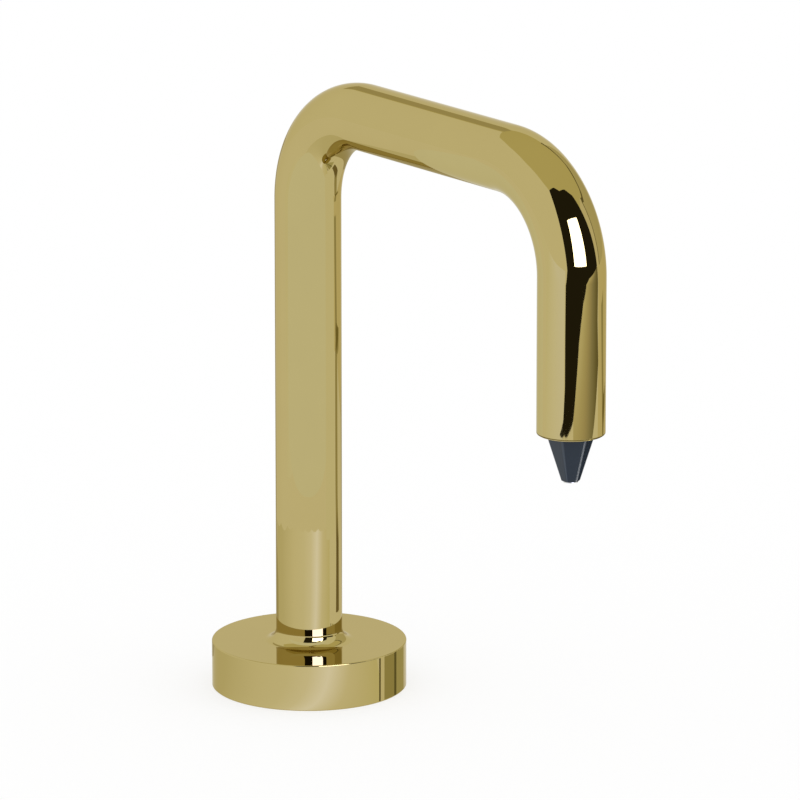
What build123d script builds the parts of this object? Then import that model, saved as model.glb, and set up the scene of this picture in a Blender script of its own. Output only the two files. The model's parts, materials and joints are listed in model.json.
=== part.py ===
from build123d import *
import os
from math import isclose

# Touch-free bathroom faucet: a bent tube spout brazed to a round flange, with a tapered six-sided
# nozzle that holds the hand sensor and an anti-drip valve. Millimetres, +Z up. The origin is the
# centre of the flange's underside, and the spout reaches towards -Y.

# Spout tube
TUBE_OD = 22.0
TUBE_WALL = 1.2
ARM_HEIGHT = 198.7
REACH = 139.7
BEND_RADIUS = 32.5
DROP_LENGTH = 83.3
TUBE_EDGE = 0.8
TUBE_INNER_EDGE = 0.3

# Flange, with its foot, spigot and shank socket (the socket's minor diameter is a G1/2 thread's)
FLANGE_OD = 64.8
FLANGE_HEIGHT = 15.6
FLANGE_TOP_EDGE = 0.4
FLANGE_BOTTOM_EDGE = 0.3
FOOT_FILLET = 4.0
FOOT_LAND = 0.6
SPIGOT_LENGTH = 12.0
SPIGOT_WALL = 1.3
SPIGOT_LEAD_IN = 0.4
SOCKET_MINOR = 18.63
SOCKET_DEPTH = 9.5
GASKET_OD = 56.0
GASKET_ID = 44.0
GASKET_DEPTH = 1.6

# Clearances
BRAZE_GAP = 0.05
SEAT_GAP = 0.05
RUNNING_GAP = 0.06
SCREW_GAP = 0.05

# Supply hose and sensor lead
HOSE_OD = 7.0
HOSE_BORE = 5.0
HOSE_EASE = 6.0
LEAD_OD = 2.4
LEAD_OFFSET = 6.0
LEAD_PLUG_OD = 4.2
LEAD_PLUG_LENGTH = 6.0
GROMMET_HEAD = 1.5
GROMMET_LENGTH = 6.0
GROMMET_LIP = 0.9
FERRULE_LENGTH = 6.0
FERRULE_WALL = 0.6
FERRULE_SET_BACK = 0.3
FERRULE_BEAD = 0.2
BARB_COUNT = 3
BARB_PITCH = 2.4
BARB_DEPTH = 0.3
FLOW_BORE = 2.6

# Inlet port, a push-fit socket for the supply tube
PORT_OD = 7.4
PORT_LENGTH = 6.5
PORT_BORE = 4.2
PORT_DEPTH = 5.0
PORT_GROOVE = 0.7
PORT_GROOVE_DEPTH = 0.6
PORT_GROOVE_RISE = 1.8
PORT_SEAL_GAP = 0.02
PORT_STAND_OFF = 1.0

# Nozzle
NOZZLE_WIDTH = 16.0
NOZZLE_TIP_WIDTH = 6.2
NOZZLE_LENGTH = 15.3
NOZZLE_SIDES = 6
NOZZLE_TURN = 30.0
NOZZLE_EDGE = 0.6
NOZZLE_TIP_EDGE = 0.3
NOZZLE_RIM = 0.8
NOZZLE_SPIGOT_OD = 17.0
NOZZLE_SPIGOT_WALL = 1.05
NOZZLE_SPIGOT_LENGTH = 6.2
NOZZLE_CHAMBER_OD = 12.0
NOZZLE_CHAMBER_TIP = 5.2
NOZZLE_CHAMBER_DEPTH = 10.0
SHELF_HEIGHT = 3.0
COLLAR_LENGTH = 6.8
COLLAR_GROOVE = 1.0
COLLAR_GROOVE_DEPTH = 0.7

# Sensor
BOARD_THICKNESS = 1.0
BOARD_HOLE = 4.4
DIODE_OD = 3.0
DIODE_OFFSET = 3.9
DIODE_LENGTH = 3.6
DIODE_DOME = 1.35
HOUSING_SKIRT = 2.8
HOUSING_FLOOR = 1.2
HOUSING_WALL = 0.8
HOUSING_RIM = 2.5

# Outlet pipe
PIPE_OD = 3.6
PIPE_BORE = 2.4
PIPE_LIP_OD = 4.8
PIPE_LIP = 0.4
PIPE_LIP_EDGE = 0.15

# Anti-drip valve
VALVE_OD = 9.0
VALVE_BORE = 6.8
VALVE_CHAMBER = 11.5
VALVE_FLOOR = 1.5
PIPE_SOCKET = 4.0
PIPE_SEAL_OD = 5.2
CAP_PLUG = 2.5
CAP_FLANGE = 1.0
CAP_GROOVE = 1.0
CAP_GROOVE_DEPTH = 0.55
TRAVEL = 1.2
STOP_GAP = 0.3
SEAL_OD = 5.2
SEAL_THICKNESS = 0.8
POPPET_HEAD_OD = 5.4
POPPET_HEAD = 1.0
POPPET_WING = 2.0
WING_THICKNESS = 0.8
WING_COUNT = 4
STEM_OD = 2.4
BUTTON_OD = 1.2
BUTTON_LENGTH = 0.6
SPRING_OD = 4.2
SPRING_WIRE = 0.25
SPRING_TURNS = 5
SPRING_FACETS = 8

# Worked out from the sizes above
TUBE_R = TUBE_OD / 2
TUBE_BORE_R = TUBE_R - TUBE_WALL
OUTLET_HEIGHT = ARM_HEIGHT - DROP_LENGTH
FOOT_TOP = FLANGE_HEIGHT + FOOT_FILLET + FOOT_LAND
SPIGOT_R = TUBE_BORE_R - BRAZE_GAP
SPIGOT_BORE_R = SPIGOT_R - SPIGOT_WALL
SPIGOT_TOP = FOOT_TOP + SPIGOT_LENGTH
TAIL_HEIGHT = SOCKET_DEPTH + PORT_STAND_OFF + PORT_LENGTH
HOSE_BEND = BEND_RADIUS - HOSE_EASE
PIPE_R = PIPE_OD / 2
SHELF_R = NOZZLE_SPIGOT_OD / 2 - NOZZLE_SPIGOT_WALL
BOARD_R = SHELF_R - SEAT_GAP
HOUSING_BASE = SHELF_HEIGHT + BOARD_THICKNESS
HOUSING_TOP = HOUSING_BASE + HOUSING_SKIRT + HOUSING_FLOOR
VALVE_R = VALVE_OD / 2
VALVE_BORE_R = VALVE_BORE / 2
PIPE_TOP = HOUSING_TOP + PIPE_SOCKET
CHAMBER_FLOOR = PIPE_TOP + VALVE_FLOOR
CHAMBER_TOP = CHAMBER_FLOOR + VALVE_CHAMBER
SEAT_LEVEL = CHAMBER_TOP - CAP_PLUG
HOSE_END = CHAMBER_TOP + CAP_FLANGE

OUTLET = Pos(0, -REACH, OUTLET_HEIGHT)
UPRIGHT = (Align.CENTER, Align.CENTER, Align.MIN)
MATCH = 1e-3


def rod(radius, low, high, x=0.0, y=0.0):
    """An upright cylinder between two heights."""
    return Pos(x, y, low) * Cylinder(radius, high - low, align=UPRIGHT)


def collar(outer, inner, low, high):
    """An upright round sleeve between two heights."""
    return rod(outer, low, high) - rod(inner, low, high)


def cone(low_radius, high_radius, low, high):
    """An upright frustum between two heights."""
    return Pos(0, 0, low) * Cone(low_radius, high_radius, high - low, align=UPRIGHT)


def seal_ring(inner, outer, height):
    """A round-section ring that fills the space between two radii."""
    return Pos(0, 0, height) * Torus((outer + inner) / 2, (outer - inner) / 2)


def rims(shape, radius, height):
    """The circular edges of one radius at one height."""
    circles = shape.edges().filter_by(GeomType.CIRCLE)
    return circles.filter_by(
        lambda edge: isclose(edge.radius, radius, abs_tol=MATCH)
        and isclose(edge.arc_center.Z, height, abs_tol=MATCH)
    )


def spout_route(low, high, bend, x=0.0):
    """Column, arm and drop as one line with round bends, from the foot to the outlet."""
    return FilletPolyline(
        (x, 0, low),
        (x, 0, ARM_HEIGHT),
        (x, -REACH, ARM_HEIGHT),
        (x, -REACH, high),
        radius=bend,
    )


def along(route, section):
    """The section swept from the route's first point to its last."""
    return sweep(Plane(origin=route @ 0, z_dir=route % 0) * section, path=route)


def barbed_tail(low):
    """A hose tail of barbs, widest towards its stop, that fills the hose's bore."""
    crest = HOSE_BORE / 2 - SEAT_GAP
    tail = Part()
    for step in range(BARB_COUNT):
        start = low + step * BARB_PITCH
        tail += cone(crest, crest - BARB_DEPTH, start, start + BARB_PITCH)
    return tail


def crimp_ring(low):
    """A ferrule round the hose, with a bead at each end."""
    inner = HOSE_OD / 2 + SEAT_GAP
    outer = inner + FERRULE_WALL
    ring = collar(outer, inner, low, low + FERRULE_LENGTH)
    return chamfer(rims(ring, outer, low) + rims(ring, outer, low + FERRULE_LENGTH), FERRULE_BEAD)


def spout_tube():
    wall = Circle(TUBE_R) - Circle(TUBE_BORE_R)
    tube = along(spout_route(FOOT_TOP, OUTLET_HEIGHT, BEND_RADIUS), wall)
    tube = fillet(rims(tube, TUBE_R, OUTLET_HEIGHT), TUBE_EDGE)
    return chamfer(rims(tube, TUBE_BORE_R, OUTLET_HEIGHT), TUBE_INNER_EDGE)


def base_flange():
    flange_r = FLANGE_OD / 2
    body = rod(flange_r, 0, FLANGE_HEIGHT) + rod(TUBE_R, FLANGE_HEIGHT, FOOT_TOP)
    body = fillet(rims(body, TUBE_R, FLANGE_HEIGHT), FOOT_FILLET)
    body = fillet(rims(body, flange_r, FLANGE_HEIGHT), FLANGE_TOP_EDGE)
    body = chamfer(rims(body, flange_r, 0), FLANGE_BOTTOM_EDGE)
    spigot = rod(SPIGOT_R, FOOT_TOP, SPIGOT_TOP)
    body += chamfer(rims(spigot, SPIGOT_R, SPIGOT_TOP), SPIGOT_LEAD_IN)
    body -= rod(SPIGOT_BORE_R, 0, SPIGOT_TOP)
    body -= rod(SOCKET_MINOR / 2, 0, SOCKET_DEPTH)
    return body - collar(GASKET_OD / 2, GASKET_ID / 2, 0, GASKET_DEPTH)


def base_gasket():
    return collar(GASKET_OD / 2 - SEAT_GAP, GASKET_ID / 2 + SEAT_GAP, 0, GASKET_DEPTH)


def hose_grommet():
    plug = rod(SPIGOT_BORE_R - SEAT_GAP, SPIGOT_TOP - GROMMET_LENGTH, SPIGOT_TOP)
    plug += rod(SPIGOT_BORE_R + GROMMET_LIP, SPIGOT_TOP, SPIGOT_TOP + GROMMET_HEAD)
    low = SPIGOT_TOP - GROMMET_LENGTH
    high = SPIGOT_TOP + GROMMET_HEAD
    plug -= rod(HOSE_OD / 2 + SEAT_GAP, low, high)
    return plug - rod(LEAD_OD / 2 + SEAT_GAP, low, high, x=LEAD_OFFSET)


def inlet_connector():
    """A push-fit port below, with a groove for its seal, and a hose tail above."""
    low = TAIL_HEIGHT - PORT_LENGTH
    bore_r = PORT_BORE / 2
    groove_low = low + PORT_GROOVE_RISE
    port = rod(PORT_OD / 2, low, TAIL_HEIGHT) + barbed_tail(TAIL_HEIGHT)
    port -= rod(bore_r, low, low + PORT_DEPTH)
    port -= rod(bore_r + PORT_GROOVE_DEPTH, groove_low, groove_low + PORT_GROOVE)
    return port - rod(FLOW_BORE / 2, low, TAIL_HEIGHT + BARB_COUNT * BARB_PITCH)


def inlet_seal():
    inner = PORT_BORE / 2 + PORT_SEAL_GAP
    outer = PORT_BORE / 2 + PORT_GROOVE_DEPTH
    middle = TAIL_HEIGHT - PORT_LENGTH + PORT_GROOVE_RISE + PORT_GROOVE / 2
    return seal_ring(inner, outer, middle)


def inlet_ferrule():
    return crimp_ring(TAIL_HEIGHT + FERRULE_SET_BACK)


def supply_hose():
    route = spout_route(TAIL_HEIGHT, OUTLET_HEIGHT + HOSE_END, HOSE_BEND)
    return along(route, Circle(HOSE_OD / 2) - Circle(HOSE_BORE / 2))


def lead_connector():
    plug = rod(LEAD_PLUG_OD / 2, TAIL_HEIGHT - LEAD_PLUG_LENGTH, TAIL_HEIGHT, x=LEAD_OFFSET)
    return fillet(plug.edges().group_by(Axis.Z)[0], FERRULE_BEAD)


def sensor_lead():
    route = spout_route(TAIL_HEIGHT, OUTLET_HEIGHT + HOUSING_BASE, HOSE_BEND, x=LEAD_OFFSET)
    return along(route, Circle(LEAD_OD / 2))


def outlet_collar():
    bore = NOZZLE_SPIGOT_OD / 2 + SCREW_GAP
    ring = collar(TUBE_BORE_R - BRAZE_GAP, bore, NOZZLE_RIM, NOZZLE_RIM + COLLAR_LENGTH)
    groove = rod(bore + COLLAR_GROOVE_DEPTH, NOZZLE_RIM, NOZZLE_RIM + COLLAR_GROOVE)
    return OUTLET * (ring - groove)


def collar_seal():
    inner = NOZZLE_SPIGOT_OD / 2
    outer = inner + SCREW_GAP + COLLAR_GROOVE_DEPTH
    return OUTLET * seal_ring(inner, outer, NOZZLE_RIM + (outer - inner) / 2)


def nozzle_cone():
    """Six flats taper to the tip, with a corner facing the front. A rim closes the tube's mouth."""
    wide = Plane.XY * RegularPolygon(NOZZLE_WIDTH / 2, NOZZLE_SIDES, rotation=NOZZLE_TURN)
    tip = RegularPolygon(NOZZLE_TIP_WIDTH / 2, NOZZLE_SIDES, rotation=NOZZLE_TURN)
    narrow = Plane.XY.offset(-NOZZLE_LENGTH) * tip
    shell = loft([wide, narrow], ruled=True)
    flats_joints = shell.edges().filter_by(lambda edge: edge.bounding_box().size.Z > NOZZLE_LENGTH / 2)
    shell = fillet(flats_joints, NOZZLE_EDGE)
    shell = fillet(shell.faces().sort_by(Axis.Z)[0].edges(), NOZZLE_TIP_EDGE)
    shell += rod(TUBE_BORE_R - RUNNING_GAP - TUBE_INNER_EDGE, 0, NOZZLE_RIM)
    shell += rod(NOZZLE_SPIGOT_OD / 2, NOZZLE_RIM, NOZZLE_RIM + NOZZLE_SPIGOT_LENGTH)
    shell -= rod(SHELF_R, SHELF_HEIGHT, NOZZLE_RIM + NOZZLE_SPIGOT_LENGTH)
    shell -= rod(NOZZLE_CHAMBER_OD / 2, 0, SHELF_HEIGHT)
    shell -= cone(NOZZLE_CHAMBER_TIP / 2, NOZZLE_CHAMBER_OD / 2, -NOZZLE_CHAMBER_DEPTH, 0)
    return OUTLET * (shell - rod(PIPE_R + SEAT_GAP, -NOZZLE_LENGTH, 0))


def sensor_board():
    return OUTLET * collar(BOARD_R, BOARD_HOLE / 2, SHELF_HEIGHT, SHELF_HEIGHT + BOARD_THICKNESS)


def diode(y):
    """A round diode under the board, with a domed end."""
    dome_low = SHELF_HEIGHT - DIODE_LENGTH
    body = rod(DIODE_OD / 2, dome_low, SHELF_HEIGHT, y=y)
    return OUTLET * fillet(body.edges().group_by(Axis.Z)[0], DIODE_DOME)


def infrared_emitter():
    return diode(-DIODE_OFFSET)


def infrared_receiver():
    return diode(DIODE_OFFSET)


def sensor_housing():
    """A cup over the board, whose rim on top centres the valve."""
    ceiling = HOUSING_BASE + HOUSING_SKIRT
    cup = rod(BOARD_R, HOUSING_BASE, HOUSING_TOP)
    cup -= rod(BOARD_R - HOUSING_WALL, HOUSING_BASE, ceiling)
    rim_bore = VALVE_R + SEAT_GAP
    cup += collar(rim_bore + HOUSING_WALL, rim_bore, HOUSING_TOP, HOUSING_TOP + HOUSING_RIM)
    cup -= rod(PIPE_R + SEAT_GAP, ceiling, HOUSING_TOP)
    lead_way = rod(LEAD_OD / 2 + SEAT_GAP, HOUSING_BASE, HOUSING_TOP + HOUSING_RIM, x=LEAD_OFFSET)
    return OUTLET * (cup - lead_way)


def outlet_pipe():
    """A thin pipe from the valve to the tip, with a rolled lip below the nozzle."""
    lip_low = -NOZZLE_LENGTH - PIPE_LIP
    lip = rod(PIPE_LIP_OD / 2, lip_low, -NOZZLE_LENGTH)
    lip = fillet(lip.edges().filter_by(GeomType.CIRCLE), PIPE_LIP_EDGE)
    pipe = lip + rod(PIPE_R, -NOZZLE_LENGTH, PIPE_TOP)
    return OUTLET * (pipe - rod(PIPE_BORE / 2, lip_low, PIPE_TOP))


def pipe_seal():
    outer = PIPE_SEAL_OD / 2
    return OUTLET * seal_ring(PIPE_R, outer, HOUSING_TOP + (outer - PIPE_R) / 2)


def valve_body():
    body = rod(VALVE_R, HOUSING_TOP, CHAMBER_TOP)
    seal_r = PIPE_SEAL_OD / 2
    body -= rod(seal_r, HOUSING_TOP, HOUSING_TOP + seal_r - PIPE_R)
    body -= rod(PIPE_R + SEAT_GAP, HOUSING_TOP, PIPE_TOP)
    body -= rod(PIPE_BORE / 2, PIPE_TOP, CHAMBER_FLOOR)
    return OUTLET * (body - rod(VALVE_BORE_R, CHAMBER_FLOOR, CHAMBER_TOP))


def valve_cap():
    """Plug with the valve's seat below, a flange, and a hose tail above."""
    plug_r = VALVE_BORE_R - SEAT_GAP
    groove_low = SEAT_LEVEL + (CAP_PLUG - CAP_GROOVE) / 2
    cap = rod(plug_r, SEAT_LEVEL, CHAMBER_TOP)
    cap -= collar(plug_r, plug_r - CAP_GROOVE_DEPTH, groove_low, groove_low + CAP_GROOVE)
    cap += rod(VALVE_R, CHAMBER_TOP, HOSE_END)
    cap += barbed_tail(HOSE_END)
    return OUTLET * (cap - rod(FLOW_BORE / 2, SEAT_LEVEL, HOSE_END + BARB_COUNT * BARB_PITCH))


def cap_seal():
    plug_r = VALVE_BORE_R - SEAT_GAP
    return OUTLET * seal_ring(plug_r - CAP_GROOVE_DEPTH, VALVE_BORE_R, SEAT_LEVEL + CAP_PLUG / 2)


def valve_poppet():
    """Head and button carry the seal, four wings guide it in the bore, the stem centres the spring."""
    head_top = SEAT_LEVEL - SEAL_THICKNESS
    head_low = head_top - POPPET_HEAD
    wings_low = head_low - POPPET_WING
    reach = VALVE_BORE_R - RUNNING_GAP
    wings = Part()
    for turn in range(WING_COUNT // 2):
        blade = Box(2 * VALVE_BORE_R, WING_THICKNESS, head_top - wings_low, align=UPRIGHT)
        wings += Rot(0, 0, turn * 360 / WING_COUNT) * Pos(0, 0, wings_low) * blade
    poppet = wings & rod(reach, wings_low, head_top)
    poppet += rod(POPPET_HEAD_OD / 2, head_low, head_top)
    poppet += rod(BUTTON_OD / 2, head_top, head_top + BUTTON_LENGTH)
    return OUTLET * (poppet + rod(STEM_OD / 2, CHAMBER_FLOOR + TRAVEL + STOP_GAP, wings_low))


def poppet_seal():
    low = SEAT_LEVEL - SEAL_THICKNESS
    return OUTLET * collar(SEAL_OD / 2, BUTTON_OD / 2 + SEAT_GAP, low, SEAT_LEVEL)


def valve_spring():
    wire_r = SPRING_WIRE / 2
    coil_r = SPRING_OD / 2 - wire_r
    top = SEAT_LEVEL - SEAL_THICKNESS - POPPET_HEAD - POPPET_WING
    length = top - CHAMBER_FLOOR - SPRING_WIRE
    coil = Helix(pitch=length / SPRING_TURNS, height=length, radius=coil_r)
    start = Plane(origin=coil @ 0, z_dir=coil % 0)
    wire = sweep(start * RegularPolygon(wire_r, SPRING_FACETS), path=coil, is_frenet=True)
    return OUTLET * Pos(0, 0, CHAMBER_FLOOR + wire_r) * wire


def hose_ferrule():
    return OUTLET * crimp_ring(HOSE_END + FERRULE_SET_BACK)


PIECES = [
    spout_tube,
    base_flange,
    base_gasket,
    hose_grommet,
    inlet_connector,
    inlet_seal,
    inlet_ferrule,
    supply_hose,
    lead_connector,
    sensor_lead,
    outlet_collar,
    collar_seal,
    nozzle_cone,
    sensor_board,
    infrared_emitter,
    infrared_receiver,
    sensor_housing,
    outlet_pipe,
    pipe_seal,
    valve_body,
    valve_cap,
    cap_seal,
    valve_poppet,
    poppet_seal,
    valve_spring,
    hose_ferrule,
]

os.makedirs("parts", exist_ok=True)
for piece in PIECES:
    export_step(piece(), f"parts/{piece.__name__}.step")
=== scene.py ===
"""Touch-free bathroom faucet: a bent tube spout in polished gold on a round flange, with a dark nozzle."""
import json
from math import cos, degrees, pi, radians, sin, tan, tau

import bmesh
import bpy
from bpy.props import FloatProperty, FloatVectorProperty, IntProperty, PointerProperty
from bpy.types import Operator, Panel, PropertyGroup
from mathutils import Matrix, Vector


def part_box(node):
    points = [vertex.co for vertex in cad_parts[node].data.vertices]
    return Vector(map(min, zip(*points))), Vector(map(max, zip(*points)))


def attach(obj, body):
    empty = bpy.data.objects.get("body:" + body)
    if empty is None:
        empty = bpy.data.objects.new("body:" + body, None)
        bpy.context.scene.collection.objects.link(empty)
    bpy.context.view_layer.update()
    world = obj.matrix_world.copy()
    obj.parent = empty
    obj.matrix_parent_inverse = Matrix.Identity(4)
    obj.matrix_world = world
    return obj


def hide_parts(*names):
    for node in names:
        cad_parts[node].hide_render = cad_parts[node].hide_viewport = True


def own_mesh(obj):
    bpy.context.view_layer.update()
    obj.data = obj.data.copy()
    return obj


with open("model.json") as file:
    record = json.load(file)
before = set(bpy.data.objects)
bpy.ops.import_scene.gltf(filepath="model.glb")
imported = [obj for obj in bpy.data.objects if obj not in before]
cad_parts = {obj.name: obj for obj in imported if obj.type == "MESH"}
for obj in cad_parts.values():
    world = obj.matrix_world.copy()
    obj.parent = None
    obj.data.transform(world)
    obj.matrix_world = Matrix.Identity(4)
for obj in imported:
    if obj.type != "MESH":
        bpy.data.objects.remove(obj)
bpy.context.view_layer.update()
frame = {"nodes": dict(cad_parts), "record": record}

bl_info = {
    "name": "Touch-free Faucet",
    "version": (1, 0, 0),
    "blender": (4, 5, 0),
    "location": "View3D > Sidebar > Faucet",
    "description": "Dresses the packed frame of a touch-free bathroom faucet and lights it",
    "category": "Object",
}

TUBE_LOW, TUBE_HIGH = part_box("spout_tube")
FLANGE_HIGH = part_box("base_flange")[1]
NOZZLE_LOW, NOZZLE_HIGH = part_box("nozzle_cone")
PIPE_LOW, PIPE_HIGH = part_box("outlet_pipe")
SPRING_LOW, SPRING_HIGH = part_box("valve_spring")
COLLAR_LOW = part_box("outlet_collar")[0]
COLOURS = {entry["slot"]: entry["base_color"][:3] for entry in frame["record"]["materials"]}
FINISH = {entry["node"]: entry["material_slot"] for entry in frame["record"]["subparts"]}
BODY = "faucet"
FINISHED = "_finish"

# Distances in metres under which points are joined, or count as lying on a ring
WELD = 1e-7
MATCH = 2e-5
# Edges that turn more than this stay sharp
SHARP = radians(32)

# Sockets of a mix of two colours: the colours, and the result
MIX_FIRST, MIX_SECOND, MIX_RESULT = 6, 7, 2

# Facets round the small pieces, and along one turn of the spring
HOLE_SIDES = 48
RIM_SIDES = 96
PIPE_SIDES = 64
WIRE_SIDES = 12
COIL_STEPS = 48

# Places of the tent's walls, as shares of the dark wall's distance
SOFTBOX_SHARE = 0.97
RAIL_SHARE = 1.35
LEFT_SHARE = 1.4
POST_SHARE = 1.45
RIGHT_SHARE = 1.5

# Step in height between the cards that lie on the floor, and the length of the flange's strips
LAYER = 0.0001
STRIP_LENGTH = 0.062

WHITE = (1.0, 1.0, 1.0, 1.0)


def length(name, text, default):
    """A size in metres."""
    return FloatProperty(
        name=name, description=text, default=default, min=0.0, unit="LENGTH", subtype="DISTANCE", precision=5
    )


def angle(name, text, default):
    """An angle, given in degrees."""
    return FloatProperty(
        name=name, description=text, default=radians(default), unit="ROTATION", subtype="ANGLE"
    )


def colour(name, text, default):
    """A colour in linear light."""
    return FloatVectorProperty(
        name=name, description=text, default=default, size=3, min=0.0, soft_max=1.0, subtype="COLOR"
    )


def level(name, text, default):
    """A plain number that isn't negative."""
    return FloatProperty(name=name, description=text, default=default, min=0.0)


class FaucetSizes(PropertyGroup):
    """Sizes of the pieces that are modelled here."""

    tube_radius: length("Tube radius", "Outside radius of the spout's tube", TUBE_HIGH[0])
    tube_wall: length("Tube wall", "Thickness of the tube's wall", 0.0012)
    tube_edge: length("Tube edge", "Radius of the rounded edge at the spout's mouth", 0.0008)
    mouth_chamfer: length("Mouth chamfer", "Chamfer inside the spout's mouth", 0.0003)
    reach: length("Reach", "From the column's axis to the drop's axis", -TUBE_LOW[1] - TUBE_HIGH[0])
    arm_height: length("Arm height", "Height of the arm's axis", TUBE_HIGH[2] - TUBE_HIGH[0])
    bend_radius: length("Bend radius", "Radius of both bends, along the tube's axis", 0.0325)
    foot_top: length("Foot top", "Height of the seam between the flange's foot and the tube", TUBE_LOW[2])
    nozzle_rim: length("Nozzle rim", "Thickness of the nozzle's round rim", 0.0008)
    nozzle_length: length("Nozzle length", "From the spout's mouth to the nozzle's tip", 0.0153)
    nozzle_width: length("Nozzle width", "Across the nozzle's corners at the top", 0.016)
    tip_width: length("Tip width", "Across the nozzle's corners at the tip", 0.0062)
    nozzle_edge: length("Nozzle edge", "Rounding of the nozzle's long corners", 0.001)
    tip_edge: length("Tip edge", "Rounding round the nozzle's tip", 0.0003)
    rim_radius: length("Rim radius", "Radius of the rim that closes the spout's mouth", 0.00944)
    nozzle_spigot: length("Nozzle spigot", "Radius of the part that screws into the spout", 0.0085)
    spigot_wall: length("Spigot wall", "Wall of that part", 0.00105)
    flange_radius: length("Flange radius", "Radius of the round flange", FLANGE_HIGH[0])
    flange_height: length("Flange height", "Height of the flange's flat top", 0.0156)
    flange_top_edge: length("Flange top edge", "Rounding of the flange's top edge", 0.0004)
    flange_low_edge: length("Flange low edge", "Chamfer of the flange's bottom edge", 0.0003)
    foot_fillet: length("Foot fillet", "Radius of the hollow between the flange and the column", 0.004)
    spigot_top: length("Spigot top", "Top of the flange's spigot inside the tube", FLANGE_HIGH[2])
    flange_bore: length("Flange bore", "Radius of the bore through the flange's spigot", 0.00845)
    socket_minor: length("Socket minor radius", "Radius over the crests of the socket's thread", 0.009315)
    socket_major: length("Socket major radius", "Radius at the roots of the socket's thread", 0.0104775)
    socket_depth: length("Socket depth", "Depth of the shank socket", 0.0095)
    thread_pitch: length("Thread pitch", "Pitch of the shank socket's thread", 0.001814)
    gasket_outer: length("Gasket groove outside", "Outside radius of the gasket's groove", 0.028)
    gasket_inner: length("Gasket groove inside", "Inside radius of the gasket's groove", 0.022)
    gasket_depth: length("Gasket groove depth", "Depth of the gasket's groove", 0.0016)
    pipe_radius: length("Pipe radius", "Outside radius of the outlet pipe", 0.0018)
    pipe_bore: length("Pipe bore", "Bore radius of the outlet pipe", 0.0012)
    lip_radius: length("Lip radius", "Radius of the pipe's rolled lip", PIPE_HIGH[0])
    lip_height: length("Lip height", "Height of the pipe's rolled lip", 0.0004)
    seat_gap: length("Seat gap", "Gap round a seated piece", 0.00005)
    spring_wire: length("Spring wire", "Thickness of the valve spring's wire", 0.00025)
    spring_turns: IntProperty(name="Spring turns", description="Turns of its wire", default=5, min=2)
    tube_sides: IntProperty(name="Tube sides", description="Facets round the tube", default=128, min=24)
    bend_steps: IntProperty(name="Bend steps", description="Facets along each bend", default=56, min=8)
    round_sides: IntProperty(name="Round sides", description="Facets round the flange", default=192, min=24)


class FaucetFinish(PropertyGroup):
    """Colours and gloss of the finishes."""

    gold: colour("Gold", "Polished gold plating", COLOURS["polished_gold"])
    gold_edge: colour("Gold edge", "Tint of the plating seen edge-on", (0.79, 0.74, 0.6))
    gold_roughness: level("Gold roughness", "Roughness of the polish", 0.012)
    smoked: colour("Smoked plastic", "Dark plastic of the nozzle", (0.022, 0.032, 0.048))
    # Painted highlight: a lighter tint along the nozzle's six corners, standing in for the glint on its
    # rounded edges
    corner_highlight_tint: colour("Smoked corner", "Rubbed corners of the nozzle", (0.07, 0.085, 0.105))
    steel: colour("Stainless steel", "Outlet pipe, ferrules and spring", COLOURS["stainless"])
    brass: colour("Plain brass", "Unplated brass fittings", COLOURS["plain_brass"])
    rubber: colour("Black rubber", "Gasket, grommet and seals", COLOURS["black_rubber"])
    hose: colour("Hose", "Milky supply hose", COLOURS["hose_plastic"])
    jacket: colour("Lead jacket", "Jacket of the sensor's lead", COLOURS["lead_jacket"])
    black_plastic: colour("Black plastic", "Sensor housing and lead plug", COLOURS["black_plastic"])
    white_plastic: colour("White plastic", "Valve body, cap and poppet", COLOURS["white_plastic"])
    board: colour("Circuit board", "Sensor board", COLOURS["circuit_board"])
    clear_diode: colour("Clear diode", "Infrared emitter", COLOURS["clear_diode"])
    dark_diode: colour("Dark diode", "Infrared receiver", COLOURS["dark_diode"])


class FaucetStage(PropertyGroup):
    """Camera, light and tent, with turns measured right of the camera's direction."""

    view_azimuth: angle("View azimuth", "Camera's turn round the object from straight ahead", -37.083)
    view_elevation: angle("View elevation", "Camera's height above the horizon", 14.483)
    view_distance: length("View distance", "From the camera to the base's axis, along the view", 2.57125)
    view_right: FloatProperty(name="View right", description="Camera's step to its right", default=0.030247)
    view_up: FloatProperty(name="View up", description="Camera's step upwards", default=0.094512)
    lens_pixels: level("Lens in pixels", "Focal length in pixels of the picture's width", 7704.97)
    picture_width: level("Picture width", "Width of the picture in pixels", 800.0)
    floor_size: length("Floor size", "Half the floor's width", 6.0)
    tent_distance: length("Tent distance", "From the drop to the dark wall", 1.5)
    mirror_level: length("Mirror level", "Height that the tent's walls are sighted from", 0.19)
    dark_turn: angle("Dark wall turn", "Where the dark wall faces", 36.5)
    dark_left: angle("Dark wall left", "Left end of the dark wall", -14.5)
    dark_right: angle("Dark wall right", "Right end of the dark wall", 92.0)
    lamp_left: angle("Softbox left", "Left side of the softbox", 10.0)
    lamp_right: angle("Softbox right", "Right side of the softbox", 50.0)
    lamp_low: length("Softbox low", "Height of the softbox's lower edge", 0.185)
    lamp_rise: level("Softbox rise", "Height of the softbox per distance", 0.79)
    lamp_strength: level("Softbox strength", "Brightness of the softbox", 6.0)
    world_strength: level("World strength", "Brightness of the white surroundings", 1.0)
    floor_share: level("Floor share", "Part of the floor's white that takes shadow", 0.3)


# Node materials


def set_values(node, values):
    """Sets a node's input sockets."""
    for socket, value in dict(values).items():
        node.inputs[socket].default_value = value


def new_material(name, values=()):
    """A material with values on its Principled shader, its node tree and that shader."""
    material = bpy.data.materials.new(name + FINISHED)
    material.use_nodes = True
    shader = material.node_tree.nodes["Principled BSDF"]
    set_values(shader, values)
    return material, material.node_tree, shader


def add_node(tree, kind, values=(), **settings):
    """A shader node with settings, and values for its input sockets."""
    node = tree.nodes.new("ShaderNode" + kind)
    for key, value in settings.items():
        setattr(node, key, value)
    set_values(node, values)
    return node


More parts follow.
